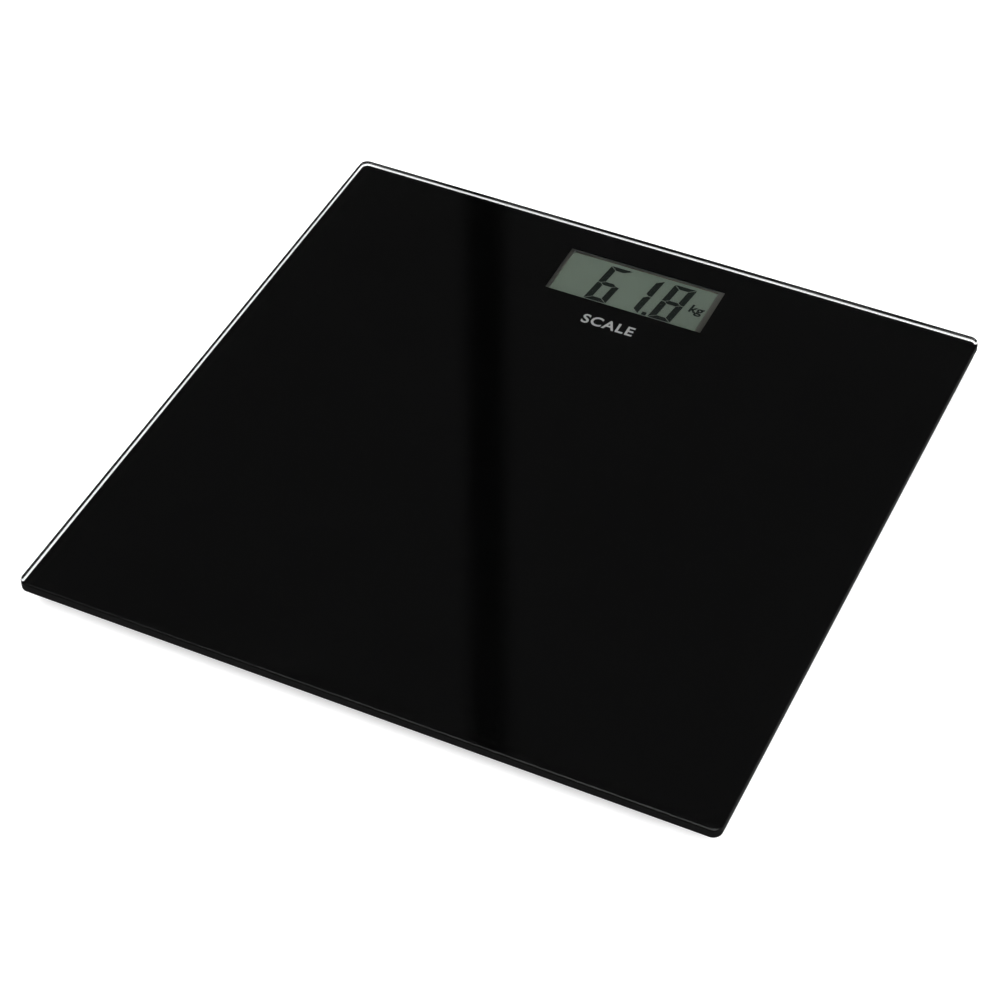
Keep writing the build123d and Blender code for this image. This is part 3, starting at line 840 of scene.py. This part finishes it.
crystal_layer = front_low.z
digits_left = display_middle.x - 34.9 * MM
digits_near = display_middle.y - 12.6 * MM
digit_pitch = 15.35 * MM
display_digits = by_rule(
    "display_digits",
    digit_rule,
    {
        "First place": (digits_left, digits_near, crystal_layer),
        "Pitch": (digit_pitch, 0, 0),
        "Lit in place 1": 0,
        "Lit in place 2": 0b1111101,
        "Lit in place 3": 0b0000110,
        "Lit in place 4": 0b1111111,
    },
    start=digit_mesh,
)
point_size = 2.1 * MM
point_left = digits_left + 3 * digit_pitch - 3.1 * MM
decimal_point = flat_plate(
    "decimal_point",
    [
        (
            Vector((point_left, digits_near)),
            Vector((point_left + point_size, digits_near + point_size)),
            0.2 * MM,
        )
    ],
    crystal_layer - 0.01 * MM,
    crystal_layer + 0.01 * MM,
)
unit_word = bpy.data.curves.new("unit_word", "FONT")
unit_word.body = "kg"
unit_word.size = 7.2 * MM
unit_word.offset = 0.2 * MM
unit_word.shear = 0.12
unit_word.extrude = 0.01 * MM
unit_sign = to_mesh(
    "unit_sign", unit_word, (digits_left + 60.6 * MM, digits_near + 10.7 * MM, crystal_layer)
)
for piece in (display_digits, decimal_point, unit_sign):
    if piece is not display_digits:
        paint(piece, dark_crystal)
    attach(piece, "root")

# --- circuit board --------------------------------------------------------
# Glass-epoxy laminate under green solder resist, with copper tracks showing as paler
# lines. It carries ceramic parts, the chip under its resin, and two rubber connectors.
board, tree, shader = new_material("green_solder_resist", "#12492a", 0.35, Coat_Weight=0.4)
place = add(tree, "ShaderNodeTexCoord").outputs["Object"]
tracks = add(
    tree,
    "ShaderNodeTexBrick",
    {
        "Vector": place,
        "Color1": linear("#0f4326"),
        "Color2": linear("#124a2b"),
        "Mortar": linear("#2a7045"),
        "Scale": 1 / (4 * MM),
        "Mortar Size": 0.05,
        "Brick Width": 1.7,
        "Row Height": 0.3,
    },
)
tree.links.new(tracks.outputs["Color"], shader.inputs["Base Color"])
bump = add(
    tree,
    "ShaderNodeBump",
    {"Height": tracks.outputs["Fac"], "Distance": 0.03 * MM, "Strength": 0.6},
)
tree.links.new(bump.outputs["Normal"], shader.inputs["Normal"])
paint(nodes["circuit_board"], board)

ceramic, tree, shader = new_material("fired_tan_ceramic", "#8b6f52", 0.45)
place = moulded_grain(tree, shader, 0.2 * MM, 0.01 * MM)
drifting(tree, shader.inputs["Base Color"], place, 2.5 * MM, "#6d5640", "#9c8062")
paint(nodes["board_components"], ceramic)

resin, tree, shader = new_material("black_potting_resin", "#0a0a0b", 0.22, Coat_Weight=0.3)
place = moulded_grain(tree, shader, 3 * MM, 0.15 * MM, detail=1.0)
drifting(tree, shader.inputs["Roughness"], place, 3 * MM, 0.15, 0.3)
paint(nodes["chip_blob"], resin)

# Layers of conducting black and insulating pink silicone, thinner than can be seen
# apart; drawn 0.4 mm thick so that they show.
zebra, tree, shader = new_material("layered_pink_silicone", "#b8827c", 0.6)
place = add(tree, "ShaderNodeTexCoord").outputs["Object"]
layer_pitch = 0.4 * MM
layers = add(
    tree,
    "ShaderNodeTexWave",
    {"Vector": place, "Scale": 0.5 * math.pi / layer_pitch / 10, "Detail": 0.0},
)
stripe = add(
    tree,
    "ShaderNodeMix",
    {"Factor": layers.outputs["Fac"], 6: linear("#1c1a1a"), 7: linear("#c08a84")},
    data_type="RGBA",
)
tree.links.new(stripe.outputs[2], shader.inputs["Base Color"])
paint(nodes["rubber_connectors"], zebra)

zinc, tree, shader = new_material("bright_zinc_plate", "#bfc1c2", 0.3, Metallic=1.0)
place = moulded_grain(tree, shader, 0.2 * MM, 0.006 * MM)
drifting(tree, shader.inputs["Roughness"], place, 1 * MM, 0.22, 0.4)
paint(nodes["board_screws"], zinc)
paint(nodes["unit_switch"], zinc)

# --- coin cell and its contacts -------------------------------------------
# A nickel-plated steel can, spun as it was drawn, so fine rings circle its face. Two
# sprung contacts of nickel-plated bronze grip it in a white moulded holder.
can, tree, shader = new_material("nickel_plated_can", "#c3c2bf", 0.28, Metallic=1.0)
can_low, can_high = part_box("coin_cell")
can_middle = (can_low + can_high) / 2
centred = add(
    tree,
    "ShaderNodeMapping",
    {"Vector": add(tree, "ShaderNodeTexCoord").outputs["Object"], "Location": -can_middle},
)
rings = add(
    tree,
    "ShaderNodeTexWave",
    {"Vector": centred.outputs["Vector"], "Scale": 1 / (3 * MM), "Distortion": 0.5},
    wave_type="RINGS",
    rings_direction="Z",
)
bump = add(
    tree,
    "ShaderNodeBump",
    {"Height": rings.outputs["Fac"], "Distance": 0.006 * MM, "Strength": 0.5},
)
tree.links.new(bump.outputs["Normal"], shader.inputs["Normal"])
drifting(tree, shader.inputs["Roughness"], centred.outputs["Vector"], 4 * MM, 0.2, 0.36)
paint(nodes["coin_cell"], can)

sprung, tree, shader = new_material("nickel_plated_bronze", "#b9b2a4", 0.3, Metallic=1.0)
place = moulded_grain(tree, shader, 0.3 * MM, 0.006 * MM)
drifting(tree, shader.inputs["Base Color"], place, 3 * MM, "#b0a898", "#c2bcb0")
for node in ("battery_contact_plus", "battery_contact_minus"):
    paint(nodes[node], sprung)

white_abs, tree, shader = new_material("white_moulded_abs", "#dedcd4", 0.38, IOR=1.54)
place = moulded_grain(tree, shader, 0.4 * MM, 0.012 * MM)
drifting(tree, shader.inputs["Base Color"], place, 12 * MM, "#d9d6cd", "#e3e1da")
paint(nodes["battery_holder"], white_abs)
paint(nodes["unit_button"], white_abs)

# --- battery door ---------------------------------------------------------
# The door is the same black ABS as the housing, with a row of half-round ridges moulded
# on its free end for a thumb.
ridge_rule, given, result = rule_tree(
    "grip_ridges",
    {
        "Start": "Vector",
        "Step": "Vector",
        "Count": "Int",
        "Half length": "Float",
        "Radius": "Float",
    },
)
ridge_ends = [
    add(ridge_rule, "ShaderNodeCombineXYZ", {"X": value})
    for value in (
        add(
            ridge_rule, "ShaderNodeMath", {0: given["Half length"], 1: -1.0}, operation="MULTIPLY"
        ).outputs[0],
        given["Half length"],
    )
]
ridge_line = add(
    ridge_rule,
    "GeometryNodeCurvePrimitiveLine",
    {"Start": ridge_ends[0].outputs[0], "End": ridge_ends[1].outputs[0]},
)
ridge_round = add(
    ridge_rule, "GeometryNodeCurvePrimitiveCircle", {"Resolution": 16, "Radius": given["Radius"]}
)
ridge = add(
    ridge_rule,
    "GeometryNodeCurveToMesh",
    {
        "Curve": ridge_line.outputs["Curve"],
        "Profile Curve": ridge_round.outputs["Curve"],
        "Fill Caps": True,
    },
)
ridge_places = add(
    ridge_rule,
    "GeometryNodeMeshLine",
    {"Count": given["Count"], "Start Location": given["Start"], "Offset": given["Step"]},
)
ridges = add(
    ridge_rule,
    "GeometryNodeInstanceOnPoints",
    {"Points": ridge_places.outputs["Mesh"], "Instance": ridge.outputs["Mesh"]},
)
finished = add(
    ridge_rule,
    "GeometryNodeSetMaterial",
    {
        "Geometry": add(
            ridge_rule, "GeometryNodeRealizeInstances", {"Geometry": ridges.outputs[0]}
        ).outputs[0],
        "Material": black_abs,
    },
)
ridge_rule.links.new(finished.outputs[0], result)
door_low, door_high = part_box("battery_door")
door_ridges = by_rule(
    "door_ridges",
    ridge_rule,
    {
        "Start": ((door_low.x + door_high.x) / 2, door_low.y + 2.5 * MM, door_low.z + 0.1 * MM),
        "Step": (0, 1.7 * MM, 0),
        "Count": 5,
        "Half length": 5.0 * MM,
        "Radius": 0.4 * MM,
    },
)
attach(door_ridges, "battery_door")

# --- rating label ---------------------------------------------------------
# Satin silver polyester, 0.1 mm, left blank. Its fine lengthwise brushing is embossed.
label, tree, shader = new_material("satin_silver_polyester", "#a6a8aa", 0.38, Metallic=0.75)
place = add(tree, "ShaderNodeTexCoord").outputs["Object"]
drawn_out = add(tree, "ShaderNodeMapping", {"Vector": place, "Scale": (25, 4000, 4000)})
brushing = add(
    tree, "ShaderNodeTexNoise", {"Vector": drawn_out.outputs["Vector"], "Scale": 1.0, "Detail": 2.0}
)
bump = add(
    tree, "ShaderNodeBump", {"Height": brushing.outputs[0], "Distance": 0.004 * MM, "Strength": 0.6}
)
tree.links.new(bump.outputs["Normal"], shader.inputs["Normal"])
drifting(tree, shader.inputs["Roughness"], place, 12 * MM, 0.33, 0.44)
paint(nodes["rating_label"], label)

# --- leads ----------------------------------------------------------------
# Three cores in one soft black PVC sheath, extruded, so its skin is smooth and faintly
# waxy, with the slow wave that the cores leave under it.
sheath, tree, shader = new_material("soft_black_pvc", "#1b1b1d", 0.42)
place = moulded_grain(tree, shader, 1.2 * MM, 0.03 * MM, detail=1.5)
drifting(tree, shader.inputs["Roughness"], place, 9 * MM, 0.36, 0.52)
for corner in corners:
    paint(nodes[f"lead_{corner}"], sheath)
